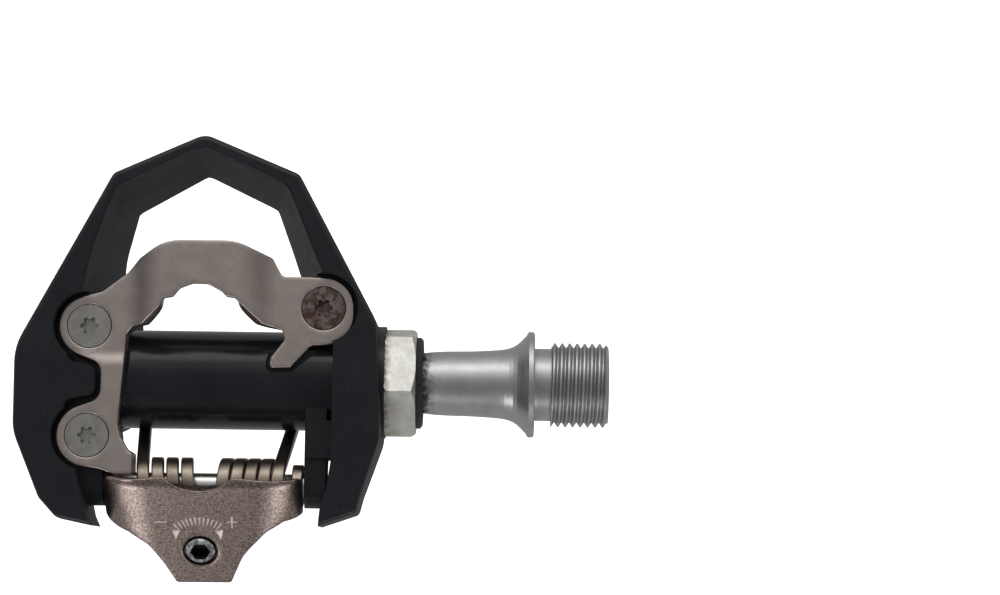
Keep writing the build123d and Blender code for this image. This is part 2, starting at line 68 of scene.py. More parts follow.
# Brightness of the studio's walls, as (place from -Y or -Z at 0 to +Y or +Z at 1, value) stops.
SOFT_BOX = [
    (0.0, 0.17), (0.15, 0.22), (0.5, 0.30), (0.62, 0.38), (0.72, 0.80), (0.82, 1.05), (1.0, 0.85),
]
HORIZON = [(0.45, 0.0), (0.55, 1.0)]
PAPER = [(0.45, 0.46), (0.53, 0.0)]

# Area lights as (place, width and height, watts), all aimed at or near the pedal's middle.
KEY_LIGHT = ((-90, 420, 300), (460, 190), 0.5)
LEFT_KICKER = ((-260, -400, 190), (150, 150), 0.45)
RIGHT_KICKER = ((160, -400, 190), (150, 150), 0.45)
PEDAL_MIDDLE = (-50, 0, 0)
CLAW_MIDDLE = (-50, -20, 0)


def make_camera():
    """Looks down on the cleat face with the pedal's nose towards the top of the picture."""
    tilt = math.radians(CAMERA_TILT)
    roll = math.radians(CAMERA_ROLL)
    x_axis = Vector((math.cos(roll), math.sin(roll) * math.cos(tilt), math.sin(roll) * math.sin(tilt)))
    y_axis = Vector((-math.sin(roll), math.cos(roll) * math.cos(tilt), math.cos(roll) * math.sin(tilt)))
    z_axis = x_axis.cross(y_axis)
    data = bpy.data.cameras.new("camera")
    data.lens = CAMERA_LENS
    data.sensor_width = SENSOR_WIDTH
    data.clip_start = 0.01
    data.clip_end = 20.0
    camera = bpy.data.objects.new("camera", data)
    scene.collection.objects.link(camera)
    turn = Matrix((x_axis, y_axis, z_axis)).transposed().to_4x4()
    place = (x_axis * CAMERA_AIM[0] + y_axis * CAMERA_AIM[1] + z_axis * CAMERA_DISTANCE) * MM
    camera.matrix_world = Matrix.Translation(place) @ turn
    scene.camera = camera


def world_ramp(tree, coordinate, stops):
    """Brightness along one coordinate of the direction looked in."""
    level = tree.nodes.new("ShaderNodeMapRange")
    level.inputs["From Min"].default_value = -1.0
    level.inputs["From Max"].default_value = 1.0
    ramp = tree.nodes.new("ShaderNodeValToRGB")
    while len(ramp.color_ramp.elements) < len(stops):
        ramp.color_ramp.elements.new(0.5)
    for element, (place, value) in zip(ramp.color_ramp.elements, stops):
        element.position = place
        element.color = (value, value, value, 1)
    tree.links.new(coordinate, level.inputs["Value"])
    tree.links.new(level.outputs["Result"], ramp.inputs["Fac"])
    return ramp.outputs["Color"]


def make_world():
    """Dim room with a wide soft box ahead of the pedal's nose, over pale paper."""
    world = bpy.data.worlds.new("studio")
    scene.world = world
    world.use_nodes = True
    tree = world.node_tree
    where = tree.nodes.new("ShaderNodeTexCoord")
    split = tree.nodes.new("ShaderNodeSeparateXYZ")
    tree.links.new(where.outputs["Generated"], split.inputs[0])
    total = tree.nodes.new("ShaderNodeVectorMath")
    total.operation = "MULTIPLY_ADD"
    ramps = (("Y", SOFT_BOX), ("Z", HORIZON), ("Z", PAPER))
    for socket, (axis, stops) in zip(total.inputs, ramps):
        tree.links.new(world_ramp(tree, split.outputs[axis], stops), socket)
    background = tree.nodes["Background"]
    tree.links.new(total.outputs[0], background.inputs["Color"])
    background.inputs["Strength"].default_value = WORLD_STRENGTH


def area_light(name, target, place, size, power):
    """Soft rectangular light aimed at a point, in millimetres."""
    data = bpy.data.lights.new(name, "AREA")
    data.shape = "RECTANGLE"
    data.size = size[0] * MM
    data.size_y = size[1] * MM
    data.energy = power
    light = bpy.data.objects.new(name, data)
    scene.collection.objects.link(light)
    light.location = Vector(place) * MM
    aim = (Vector(target) - Vector(place)).normalized()
    light.rotation_mode = "QUATERNION"
    light.rotation_quaternion = aim.to_track_quat("-Z", "Y")


def make_floor():
    """Plain pale floor, a little below the pedal."""
    grid = bmesh.new()
    bmesh.ops.create_grid(grid, x_segments=1, y_segments=1, size=FLOOR_SIZE)
    mesh = bpy.data.meshes.new("floor")
    grid.to_mesh(mesh)
    grid.free()
    floor = bpy.data.objects.new("floor", mesh)
    scene.collection.objects.link(floor)
    floor.location = (0, 0, FLOOR_Z * MM)
    paper = bpy.data.materials.new("floor_paper")
    paper.use_nodes = True
    shader = paper.node_tree.nodes["Principled BSDF"]
    shader.inputs["Base Color"].default_value = (0.9, 0.9, 0.9, 1)
    shader.inputs["Roughness"].default_value = 0.9
    shader.inputs["Specular IOR Level"].default_value = 0.0
    shader.inputs["Emission Color"].default_value = (1, 1, 1, 1)
    shader.inputs["Emission Strength"].default_value = FLOOR_GLOW
    mesh.materials.append(paper)
    floor.visible_glossy = False


# ---------------------------------------------------------------- outlines and sheet metal


def rounded(corners, step=10.0):
    """Points of a closed outline from (a, b, corner radius) triples, arcs cut every few degrees."""
    points = []
    count = len(corners)
    for i, (a, b, r) in enumerate(corners):
        here = Vector((a, b))
        before = Vector(corners[i - 1][:2])
        after = Vector(corners[(i + 1) % count][:2])
        into = (here - before).normalized()
        out = (after - here).normalized()
        turn = math.atan2(into.x * out.y - into.y * out.x, into.dot(out))
        if r <= 0.0 or abs(turn) < 0.02:
            points.append(here)
            continue
        reach = r * math.tan(abs(turn) / 2)
        start = here - into * reach
        centre = start + Vector((-into.y, into.x)) * math.copysign(r, turn)
        steps = max(2, math.ceil(abs(math.degrees(turn)) / step))
        for k in range(steps + 1):
            spoke = start - centre
            spoke.rotate(Matrix.Rotation(turn * k / steps, 2))
            points.append(centre + spoke)
    return points


def circle(x, y, r, count=48):
    """Closed ring of points."""
    turns = [2 * math.pi * i / count for i in range(count)]
    return [Vector((x + r * math.cos(t), y + r * math.sin(t))) for t in turns]


def spread(points, spacing):
    """The same closed outline with extra points on its long runs."""
    dense = []
    for i, here in enumerate(points):
        after = points[(i + 1) % len(points)]
        steps = max(1, math.ceil((after - here).length / spacing))
        dense += [here.lerp(after, k / steps) for k in range(steps)]
    return dense


def area(points):
    """Signed area of a closed outline."""
    return sum(p.x * q.y - q.x * p.y for p, q in zip(points, points[1:] + points[:1])) / 2


def inset(points, distance):
    """The outline moved sideways to its left."""
    moved = []
    for i, here in enumerate(points):
        into = (here - points[i - 1]).normalized()
        out = (points[(i + 1) % len(points)] - here).normalized()
        middle = (into + out).normalized()
        normal = Vector((-middle.y, middle.x))
        moved.append(here + normal * distance / max(0.7, middle.dot(into)))
    return moved


def inside(point, loop):
    """True if the point is inside the closed outline."""
    hit = False
    for p, q in zip(loop, loop[1:] + loop[:1]):
        if (p.y > point.y) != (q.y > point.y):
            if point.x < p.x + (point.y - p.y) / (q.y - p.y) * (q.x - p.x):
                hit = not hit
    return hit


def fill_points(rims, spacing):
    """Staggered grid of points inside the first rim, outside the others and clear of them all."""
    border = [p for rim in rims for p in rim]
    tree = KDTree(len(border))
    for i, p in enumerate(border):
        tree.insert((p.x, p.y, 0), i)
    tree.balance()
    left = min(p.x for p in rims[0])
    low = min(p.y for p in rims[0])
    columns = math.ceil((max(p.x for p in rims[0]) - left) / spacing)
    rows = math.ceil((max(p.y for p in rims[0]) - low) / spacing)
    found = []
    for row in range(rows):
        for column in range(columns):
            p = Vector((left + (column + 0.5 * (row % 2)) * spacing, low + row * spacing))
            if tree.find((p.x, p.y, 0))[2] < spacing * 0.62:
                continue
            if inside(p, rims[0]) and not any(inside(p, rim) for rim in rims[1:]):
                found.append(p)
    return found


class Sheet:
    """A formed sheet with rounded edges, built up from closed outlines in flat coordinates.

    place gives the point and the outward normal, in millimetres, at a flat coordinate.
    """

    def __init__(self, place, thickness, round_r, spacing):
        self.place = place
        self.thickness = thickness
        self.round_r = round_r
        self.spacing = spacing
        self.verts = []
        self.faces = []
        self.rims = []
        self.flat = []
        self.edges = []
        self.top_ids = []
        self.low_ids = []

    def add(self, flat, depth):
        """A vertex at a depth below the outer surface; returns its index."""
        point, normal = self.place(flat.x, flat.y)
        self.verts.append(point - normal * depth)
        return len(self.verts) - 1

    def add_rim(self, loop, anticlockwise):
        """The rounded edges and the wall between them, round one outline."""
        loop = spread(loop, self.spacing)
        if (area(loop) > 0) != anticlockwise:
            loop.reverse()
        rings = []
        for angle in (0.0, 30.0, 60.0, 90.0):
            side = self.round_r * (1 - math.cos(math.radians(angle)))
            drop = self.round_r * (1 - math.sin(math.radians(angle)))
            rim = inset(loop, side)
            top = [self.add(p, drop) for p in rim]
            low = [self.add(p, self.thickness - drop) for p in rim]
            rings.append((top, low))
        wall_top, wall_low = rings[0]
        for i in range(len(loop)):
            j = (i + 1) % len(loop)
            for (a, c), (b, d) in zip(rings, rings[1:]):
                self.faces.append((a[i], a[j], b[j], b[i]))
                self.faces.append((d[i], d[j], c[j], c[i]))
            self.faces.append((wall_low[i], wall_low[j], wall_top[j], wall_top[i]))
        base = len(self.flat)
        self.edges += [(base + i, base + (i + 1) % len(rim)) for i in range(len(rim))]
        self.rims.append(rim)
        self.flat += rim
        self.top_ids += rings[-1][0]
        self.low_ids += rings[-1][1]

    def fill(self):
        """The outer face and the underside."""
        for p in fill_points(self.rims, self.spacing):
            self.flat.append(p)
            self.top_ids.append(self.add(p, 0.0))
            self.low_ids.append(self.add(p, self.thickness))
        points, _, triangles, origins, _, _ = delaunay_2d_cdt(self.flat, self.edges, [], 0, 1e-7)
        for triangle in triangles:
            centre = sum((points[i] for i in triangle), Vector((0, 0))) / 3
            if not inside(centre, self.rims[0]) or any(inside(centre, rim) for rim in self.rims[1:]):
                continue
            a, b, c = (origins[i][0] for i in triangle)
            self.faces.append((self.top_ids[a], self.top_ids[b], self.top_ids[c]))
            self.faces.append((self.low_ids[c], self.low_ids[b], self.low_ids[a]))


def sheet_mesh(outline, holes, place, thickness, round_r, spacing):
    """Vertices and faces of a formed sheet from its outline and holes."""
    sheet = Sheet(place, thickness, round_r, spacing)
    sheet.add_rim(outline, True)
    for hole in holes:
        sheet.add_rim(hole, False)
    sheet.fill()
    return sheet.verts, sheet.faces


def add_piece(name, verts, faces, slot, body=None, replaced=(), finish=None):
    """A smooth-shaded piece from vertices in millimetres."""
    mesh = bpy.data.meshes.new(name)
    mesh.from_pydata([Vector(v) * MM for v in verts], [], faces)
    mesh.validate()
    obj = bpy.data.objects.new(name, mesh)
    scene.collection.objects.link(obj)
    clean = bmesh.new()
    clean.from_mesh(mesh)
    bmesh.ops.remove_doubles(clean, verts=clean.verts, dist=1e-7)
    bmesh.ops.recalc_face_normals(clean, faces=clean.faces)
    clean.to_mesh(mesh)
    clean.free()
    mesh.shade_smooth()
    mesh.materials.append(finishes[finish or slot])
    if body:
        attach(obj, body)
    if replaced:
        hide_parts(*replaced)
    return obj


def ease(t):
    """Smooth step from 0 to 1."""
    t = min(1.0, max(0.0, t))
    return t * t * (3 - 2 * t)


# ---------------------------------------------------------------- front plate

PLATE_SHEET = 2.0
PLATE_LOW = 8.9
PLATE_STRIP_RISE = 0.5
ARCH_RISE = 3.9
FRONT_LEFT = (-74.6, 8.2)
REAR_LEFT = (-74.5, -10.1)
FRONT_RIGHT = (-35.5, 11.7)
LOBE_R = 5.1
SCREW_HOLE_R = 3.68
PLATE_EDGE_R = 0.22
MESH_SPACING = 0.5
EAR_DROP = 1.0


def lobe(centre, tangents):
    """Outline corners that round into an exact arc about a screw, between its tangents' angles."""
    corners = []
    for a, b in zip(tangents, tangents[1:]):
        reach = LOBE_R / math.cos(math.radians(b - a) / 2)
        middle = math.radians(a + b) / 2
        corners.append((centre[0] + reach * math.cos(middle), centre[1] + reach * math.sin(middle), LOBE_R))
    return corners


def plate_height(x, y):
    """Top of the front plate above the spindle axis."""
    level = PLATE_LOW + PLATE_STRIP_RISE * ease((4.1 - y) / 2.5) * ease((-60.0 - x) / 4.0)
    if y > 8.0 or x < -50.0:
        level += ARCH_RISE * ease((x + 68.9) / 6.9) * ease((-43.0 - x) / 6.6)
    # The ear beside the springs is folded down.
    return level - EAR_DROP * ease((x + 69.4) / 3.6) * ease((-9.0 - y) / 3.0)


def plate_place(x, y):
    """Point and normal on the plate's top."""
    e = 0.05
    dx = (plate_height(x + e, y) - plate_height(x - e, y)) / (2 * e)
    dy = (plate_height(x, y + e) - plate_height(x, y - e)) / (2 * e)
    return Vector((x, y, plate_height(x, y))), Vector((-dx, -dy, 1)).normalized()


def build_front_plate():
    """Pressed plate: the raised arch with its hook notches, the strip, the tab and the folded ear."""
    outline = rounded([
        (-72.6, 14.0, 2.0), *lobe(FRONT_LEFT, [105, 180, 250]), (-72.5, 1.95, 2.2),
        (-72.5, -3.9, 2.2), *lobe(REAR_LEFT, [110, 180, 265]), (-72.5, -15.6, 3.0),
        (-69.9, -16.5, 1.0), (-66.9, -16.5, 0.35), (-66.9, -13.1, 0.35), (-67.7, -12.4, 0.6),
        (-69.0, -10.0, 1.0), (-69.4, -8.0, 1.0), (-68.7, 1.3, 0.0), (-68.45, 6.9, 0.5),
        (-67.5, 8.2, 0.6), (-65.8, 8.45, 0.8), (-62.6, 11.4, 0.5), (-61.8, 12.75, 0.4),
        (-60.4, 13.0, 0.5), (-59.3, 14.4, 1.0), (-57.2, 15.25, 2.5), (-54.6, 15.2, 2.5),
        (-52.4, 14.0, 1.0), (-51.5, 13.1, 0.5), (-50.2, 12.9, 0.5), (-49.0, 11.9, 0.5),
        (-45.5, 8.8, 0.8), (-42.4, 7.95, 0.5), (-41.9, 6.3, 0.8), (-44.2, 3.3, 0.8),
        (-44.5, 1.55, 0.7), (-40.9, 1.7, 0.5), (-37.6, 5.4, 1.0), (-30.4, 5.9, 5.0),
        (-30.4, 16.8, 5.1), (-42.6, 16.95, 1.2), (-44.1, 20.0, 1.2), (-50.2, 22.45, 9.0),
        (-61.6, 22.45, 9.0), (-66.4, 19.6, 3.0), (-68.4, 17.25, 0.4),
    ])
    holes = [circle(*centre, SCREW_HOLE_R) for centre in (FRONT_LEFT, REAR_LEFT, FRONT_RIGHT)]
    verts, faces = sheet_mesh(outline, holes, plate_place, PLATE_SHEET, PLATE_EDGE_R, MESH_SPACING)
    add_piece("front_claw_plate", verts, faces, "plate_steel", "pedal_body", ["front_plate"])


# ---------------------------------------------------------------- rear claw

SLOPE = math.radians(35.0)
CLAW_MIDDLE_X = -55.15
CLAW_HALF = 16.55
# (distance down the slope, width, depth) of the elliptic shoulders
CLAW_SHOULDERS = [(-8.0, 7.0, 2.6), (4.5, 8.2, 3.9), (24.0, 9.5, 9.5)]
LIP_Y = -18.4
LIP_Z = 12.0
LIP_BEND = 0.9
FRONT_Y = -17.0
CLAW_SHEET = 1.8
CLAW_EDGE_R = 0.25
CUT_R = 7.7
CUT_LOW_Y = -19.4
PIN_Y = -17.9
PIN_Z = 3.8
PIN_HOLE_R = 2.04
EAR_R = 3.6
BOLT_X = -55.6
BOLT_DOWN_SLOPE = 12.95
BOLT_HOLE_R = 2.9
TICK_COUNT = 12
TICK_START = -38.0
TICK_STEP = 6.5
TICK_INNER_R = 5.2
TICK_OUTER_R = 6.8
DOWN = Vector((0, -math.cos(SLOPE), -math.sin(SLOPE)))
OUT = Vector((0, -math.sin(SLOPE), math.cos(SLOPE)))


def shoulder(s):
    """Width and depth of the claw's elliptic shoulders at a distance down the slope."""
    for (s0, a0, b0), (s1, a1, b1) in zip(CLAW_SHOULDERS, CLAW_SHOULDERS[1:]):
        if s <= s1:
            t = (s - s0) / (s1 - s0)
            return a0 + (a1 - a0) * t, b0 + (b1 - b0) * t
    return CLAW_SHOULDERS[-1][1:]


def shoulder_length(wide, deep):
    """Flat length across one shoulder, a quarter of an ellipse."""
    return math.pi / 4 * (3 * (wide + deep) - math.sqrt((3 * wide + deep) * (wide + 3 * deep)))


def claw_across(u, s):
    """Sideways place and height over the slope for a flat coordinate across the claw."""
    wide, deep = shoulder(s)
    flat = CLAW_HALF - wide
    length = shoulder_length(wide, deep)
    over = abs(u) - flat
    if over <= 0:
        return u, 0.0
    if over < length:
        turn = math.pi / 2 * over / length
        return math.copysign(flat + wide * math.sin(turn), u), deep * (math.cos(turn) - 1)
    return math.copysign(CLAW_HALF, u), length - deep - over


def claw_point(u, s):
    """Point on the claw's outer surface: the level lip, its bend, then the slope."""
    x, n = claw_across(u, s)
    t = min(1.0, max(0.0, (s + LIP_BEND) / (2 * LIP_BEND)))
    past = max(0.0, s - LIP_BEND)
    level = min(s, LIP_BEND) + (1 - math.cos(SLOPE)) * -LIP_BEND * t * t
    drop = math.sin(SLOPE) * LIP_BEND * t * t
    base = Vector((CLAW_MIDDLE_X + x, LIP_Y - level, LIP_Z - drop)) + DOWN * past
    return base + OUT * n


def claw_place(u, s):
    """Point and outward normal on the claw's outer surface."""
    e = 0.02
    across = claw_point(u + e, s) - claw_point(u - e, s)
    along = claw_point(u, s + e) - claw_point(u, s - e)
    return claw_point(u, s), along.cross(across).normalized()


def claw_flat_from_plan(x, y):
    """Flat coordinate of the claw's surface under a point seen from above, by halving."""
    side = x - CLAW_MIDDLE_X
    low = -3.0
    high = 26.0
    for _ in range(40):
        s = (low + high) / 2
        wide, deep = shoulder(s)
        flat = CLAW_HALF - wide
        turn = math.asin(min(1.0, max(0.0, (abs(side) - flat) / wide)))
        over = shoulder_length(wide, deep) * turn / (math.pi / 2)
        u = math.copysign(flat + over, side) if turn > 0 else side
        if claw_point(u, s).y > y:
            low = s
        else:
            high = s
    return Vector((u, s))


def claw_flat_from_side(y, z, side):
    """Flat coordinate on an ear from its place in side view."""
    arm = Vector((0, y - LIP_Y, z - LIP_Z))
    s = arm.dot(DOWN)
    wide, deep = shoulder(s)
    past = -arm.dot(OUT) - deep
    return Vector((side * (CLAW_HALF - wide + shoulder_length(wide, deep) + past), s))


def ear_outline(side):
    """Flat outline of one ear from the lip's corner round the pin to the slope's edge."""
    points = [claw_flat_from_side(-17.0, 7.4, side)]
    for angle in range(70, -171, -12):
        t = math.radians(angle)
        points.append(claw_flat_from_side(PIN_Y + EAR_R * math.cos(t), PIN_Z + EAR_R * math.sin(t), side))
    points.append(claw_flat_from_side(-22.3, 3.4, side))
    return points


def pin_hole(side):
    """Flat outline of the pin's hole in one ear."""
    turns = [2 * math.pi * i / 32 for i in range(32)]
    return [
        claw_flat_from_side(PIN_Y + PIN_HOLE_R * math.cos(t), PIN_Z + PIN_HOLE_R * math.sin(t), side)
        for t in turns
    ]


def build_rear_claw():
    """Sprung jaw: lip with its cut-out, rounded slope, wings, tail and pin ears."""
    left = CLAW_MIDDLE_X - CLAW_HALF
    right = CLAW_MIDDLE_X + CLAW_HALF
    cut_y = CUT_LOW_Y + CUT_R
    half_angle = math.acos((cut_y - FRONT_Y) / CUT_R)
    turns = [-math.pi / 2 + half_angle * (k / 6 - 1) for k in range(13)]
    cut = [(BOLT_X + CUT_R * math.cos(t), cut_y + CUT_R * math.sin(t)) for t in turns]
    lip = [(left + 0.9, FRONT_Y), (-62.5, FRONT_Y), *cut, (-48.7, FRONT_Y), (right - 0.9, FRONT_Y)]
    tail = rounded([
        (right - 0.4, -22.9, 0.0), (-41.6, -24.1, 3.0), (-44.5, -25.9, 5.0), (-48.5, -29.9, 4.0),
        (-50.6, -34.25, 0.7), (-59.8, -34.3, 0.7), (-61.7, -31.3, 4.0), (-64.3, -28.1, 5.0),
        (-67.5, -26.1, 4.0), (left + 0.4, -23.4, 0.0),
    ])
    outline = [claw_flat_from_plan(*p) for p in lip] + ear_outline(1)
    outline += [claw_flat_from_plan(*p) for p in tail] + ear_outline(-1)[::-1]
    bolt_hole = circle(BOLT_X - CLAW_MIDDLE_X, BOLT_DOWN_SLOPE, BOLT_HOLE_R)
    holes = [bolt_hole, pin_hole(-1), pin_hole(1)]
    verts, faces = sheet_mesh(outline, holes, claw_place, CLAW_SHEET, CLAW_EDGE_R, MESH_SPACING)
    add_piece("rear_claw_jaw", verts, faces, "claw_steel", "rear_claw", ["rear_claw"])


def ridge(start, end, width_start, width_end, height):
    """Vertices and faces of a small roof-shaped mark on the claw's slope, in flat coordinates."""
    along = (end - start).normalized()
    side = Vector((-along.y, along.x))
    foot = [
        start + side * width_start / 2, start - side * width_start / 2,
        end - side * width_end / 2, end + side * width_end / 2,
    ]
    crest = [start + (end - start) * 0.15, start + (end - start) * 0.85]
    verts = [claw_place(p.x, p.y)[0] - OUT * 0.05 for p in foot]
    verts += [claw_place(p.x, p.y)[0] + OUT * height for p in crest]
    faces = [(0, 1, 4), (1, 2, 5, 4), (2, 3, 5), (3, 0, 4, 5), (3, 2, 1, 0)]
    return verts, faces


def near_bolt(across, up):
    """Flat coordinate on the claw, in millimetres right of the bolt and up the slope from it."""
    return Vector((BOLT_X - CLAW_MIDDLE_X + across, BOLT_DOWN_SLOPE - up))


def build_adjuster_marks():
    """Raised tension scale above the bolt: a fan of ticks between two arrows, minus and plus."""
    marks = []
    for k in range(TICK_COUNT):
        angle = math.radians(TICK_START + TICK_STEP * k)
        spoke = Vector((math.sin(angle), math.cos(angle)))
        inner = near_bolt(*spoke * TICK_INNER_R)
        outer = near_bolt(*spoke * TICK_OUTER_R)
        marks.append(ridge(inner, outer, 0.24, 0.5, 0.16))
    marks.append(ridge(near_bolt(-3.9, 4.2), near_bolt(-4.0, 2.3), 1.5, 0.1, 0.2))
    marks.append(ridge(near_bolt(3.25, 4.3), near_bolt(3.6, 2.3), 1.6, 0.1, 0.2))
    marks.append(ridge(near_bolt(-7.4, 5.7), near_bolt(-5.2, 5.8), 0.3, 0.3, 0.12))
    marks.append(ridge(near_bolt(5.5, 7.0), near_bolt(5.5, 4.6), 0.55, 0.3, 0.16))
    marks.append(ridge(near_bolt(4.6, 5.9), near_bolt(6.5, 5.9), 0.3, 0.3, 0.12))
    verts = []
    faces = []
    for mark_verts, mark_faces in marks:
        base = len(verts)
        verts += mark_verts
        faces += [tuple(base + i for i in face) for face in mark_faces]
    obj = add_piece("tension_scale", verts, faces, "claw_steel", "rear_claw", finish="mark_steel")
    obj.data.shade_flat()


# ---------------------------------------------------------------- springs

SPRING_R = 3.8
WIRE_THICK = 1.6
WIRE_WIDE = 2.1
WIRE_ROUND = 0.34
START_ANGLE = 32.1
END_ANGLE = 148.6
FRONT_LEG = 14.0
FRONT_LEG_SPLAY = 1.2
TOE = Vector((0, 2.33, -1.89))
REAR_LEG = 5.2
REAR_LEG_STEPS = 6
TURN_STEP = 7.5


def round_side(angle):
    """Direction from the pin's axis, seen along +X, at an angle from +Y towards +Z."""
    t = math.radians(angle)
    return Vector((0, math.cos(t), math.sin(t)))


def wire_section():
    """Rounded rectangle of the flat spring wire, as (thickness, width) points."""
    a = WIRE_THICK / 2
    b = WIRE_WIDE / 2
    r = WIRE_ROUND
    return rounded([(-a, -b, r), (a, -b, r), (a, b, r), (-a, b, r)], step=30.0)


def spring_route(outer_x, pitch, whole_turns, hand):
    """Centre line from the front leg's toe, round the coil, to the end of the rear leg."""
    axis = Vector((outer_x, PIN_Y, PIN_Z))
    step_x = Vector((hand, 0, 0))
    begin = axis + round_side(START_ANGLE) * SPRING_R
    forward = round_side(START_ANGLE - 90)
    knee = begin + forward * FRONT_LEG - step_x * FRONT_LEG_SPLAY
    toe = knee + TOE
    points = [toe.lerp(knee, k / 4) for k in range(4)]
    points += [knee.lerp(begin, k / 14) for k in range(1, 14)]
    sweep = whole_turns * 360 + END_ANGLE - START_ANGLE
    count = math.ceil(sweep / TURN_STEP)
    for k in range(count + 1):
        turned = sweep * k / count
        around = round_side(START_ANGLE + turned) * SPRING_R
        points.append(axis + around + step_x * pitch * turned / 360)
    back = round_side(END_ANGLE + 90)
    last = points[-1]
    points += [last + back * REAR_LEG * k / REAR_LEG_STEPS for k in range(1, REAR_LEG_STEPS + 1)]
    return points


def sweep_wire(route):
    """Vertices and faces of the flat wire along a centre line."""
    section = wire_section()
    verts = []
    faces = []
    for i, point in enumerate(route):
        along = (route[min(i + 1, len(route) - 1)] - route[max(i - 1, 0)]).normalized()
        thin = Vector((1, 0, 0)).cross(along).normalized()
        wide = along.cross(thin)
        verts += [point + thin * p.x + wide * p.y for p in section]
    size = len(section)
    for i in range(len(route) - 1):
        for k in range(size):
            m = (k + 1) % size
            faces.append((i * size + k, i * size + m, (i + 1) * size + m, (i + 1) * size + k))
    faces.append(tuple(range(size))[::-1])
    faces.append(tuple(len(verts) - size + k for k in range(size)))
    return verts, faces


def build_spring(name, outer_x, pitch, whole_turns, hand):
    """Torsion spring of flat wire, built as two pieces: the coil with its front leg, and the rear leg."""
    route = spring_route(outer_x, pitch, whole_turns, hand)
    coil_route = route[:-REAR_LEG_STEPS]
    leg_route = route[-REAR_LEG_STEPS - 1:]
    coil = add_piece(name + "_coil", *sweep_wire(coil_route), "spring_steel", replaced=[name])
    leg = add_piece(name + "_rear_leg", *sweep_wire(leg_route), "spring_steel")
    for piece in (coil, leg):
        piece.data.set_sharp_from_angle(angle=math.radians(50))
    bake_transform(coil)
    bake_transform(leg)


# ---------------------------------------------------------------- finishes


class Finish:
    """A principled material whose textures are measured in the object's own millimetres."""

    def __init__(self, name, metallic, specular=0.5):
        self.material = bpy.data.materials.new(name)
        self.material.use_nodes = True
        self.tree = self.material.node_tree
        self.shader = self.tree.nodes["Principled BSDF"]
        self.shader.inputs["Metallic"].default_value = metallic
        self.shader.inputs["Specular IOR Level"].default_value = specular
        where = self.node("ShaderNodeTexCoord")
        self.place = self.vector("MULTIPLY", where.outputs["Object"], (1000,) * 3)
        self.bumps = None
        self.base = None

    def node(self, kind):
        return self.tree.nodes.new(kind)

    def set(self, socket, value):
        """Links a socket or writes a constant."""
        if isinstance(value, bpy.types.NodeSocket):
            self.tree.links.new(value, socket)
        else:
            socket.default_value = value

    def vector(self, operation, a, b):
        node = self.node("ShaderNodeVectorMath")
        node.operation = operation
        self.set(node.inputs[0], a)
        self.set(node.inputs[1], b)
        return node.outputs["Value" if operation == "DOT_PRODUCT" else "Vector"]

    def math(self, operation, a, b=0.0):
        node = self.node("ShaderNodeMath")
        node.operation = operation
        self.set(node.inputs[0], a)
        self.set(node.inputs[1], b)
        return node.outputs[0]

    def along(self, axis):
        """One coordinate in millimetres."""
        node = self.node("ShaderNodeSeparateXYZ")
        self.set(node.inputs[0], self.place)
        return node.outputs[axis]

    def noise(self, per_mm, detail=4.0, stretch=(1, 1, 1), shift=0.0):
        """Noise from 0 to 1, mostly between 0.3 and 0.7."""
        node = self.node("ShaderNodeTexNoise")
        scaled = self.vector("MULTIPLY", self.place, stretch)
        self.set(node.inputs["Vector"], self.vector("ADD", scaled, (shift,) * 3))
        node.inputs["Scale"].default_value = per_mm
        node.inputs["Detail"].default_value = detail
        node.inputs["Roughness"].default_value = 0.6
        return node.outputs["Fac"]

    def remap(self, value, low, high, new_low=0.0, new_high=1.0):
        """Clamped change of range."""
        node = self.node("ShaderNodeMapRange")
        self.set(node.inputs["Value"], value)
        names = ("From Min", "From Max", "To Min", "To Max")
        for name, number in zip(names, (low, high, new_low, new_high)):
            self.set(node.inputs[name], number)
        return node.outputs["Result"]

    def mix(self, share, a, b):
        """Blend of two colours."""
        node = self.node("ShaderNodeMix")
        node.data_type = "RGBA"
        self.set(node.inputs["Factor"], share)
        sockets = [s for s in node.inputs if s.type == "RGBA"]
        self.set(sockets[0], a if isinstance(a, bpy.types.NodeSocket) else (*a, 1))
        self.set(sockets[1], b if isinstance(b, bpy.types.NodeSocket) else (*b, 1))
        return [s for s in node.outputs if s.type == "RGBA"][0]

    def bump(self, height, depth_mm, strength=1.0):
        """Adds relief; heights run from 0 to 1 over the depth."""
        node = self.node("ShaderNodeBump")
        self.set(node.inputs["Height"], height)
        node.inputs["Distance"].default_value = depth_mm * MM
        node.inputs["Strength"].default_value = strength
        if self.bumps:
            self.set(node.inputs["Normal"], self.bumps)
        self.bumps = node.outputs["Normal"]
        self.set(self.shader.inputs["Normal"], self.bumps)

    def colour(self, value):
        self.base = value
        self.set(self.shader.inputs["Base Color"], value)

    def roughness(self, value):
        self.set(self.shader.inputs["Roughness"], value)


def grained_metal(name, dark, light, rough, grain=7.0, blotch=0.25, contrast=1.0, depth=0.006):
    """Satin metal: fine grain over soft blotches."""
    f = Finish(name, 1.0)
    fine = f.noise(grain, 3.0)
    soft = f.noise(blotch, 3.0, shift=7.0)
    share = f.math("ADD", f.math("MULTIPLY", fine, contrast), soft)
    centre = 0.5 * (contrast + 1.0)
    f.colour(f.mix(f.remap(share, centre - 0.3, centre + 0.3), dark, light))
    f.roughness(f.remap(f.noise(grain * 0.6, 3.0, shift=3.0), 0.3, 0.7, *rough))
    f.bump(fine, depth)
    return f


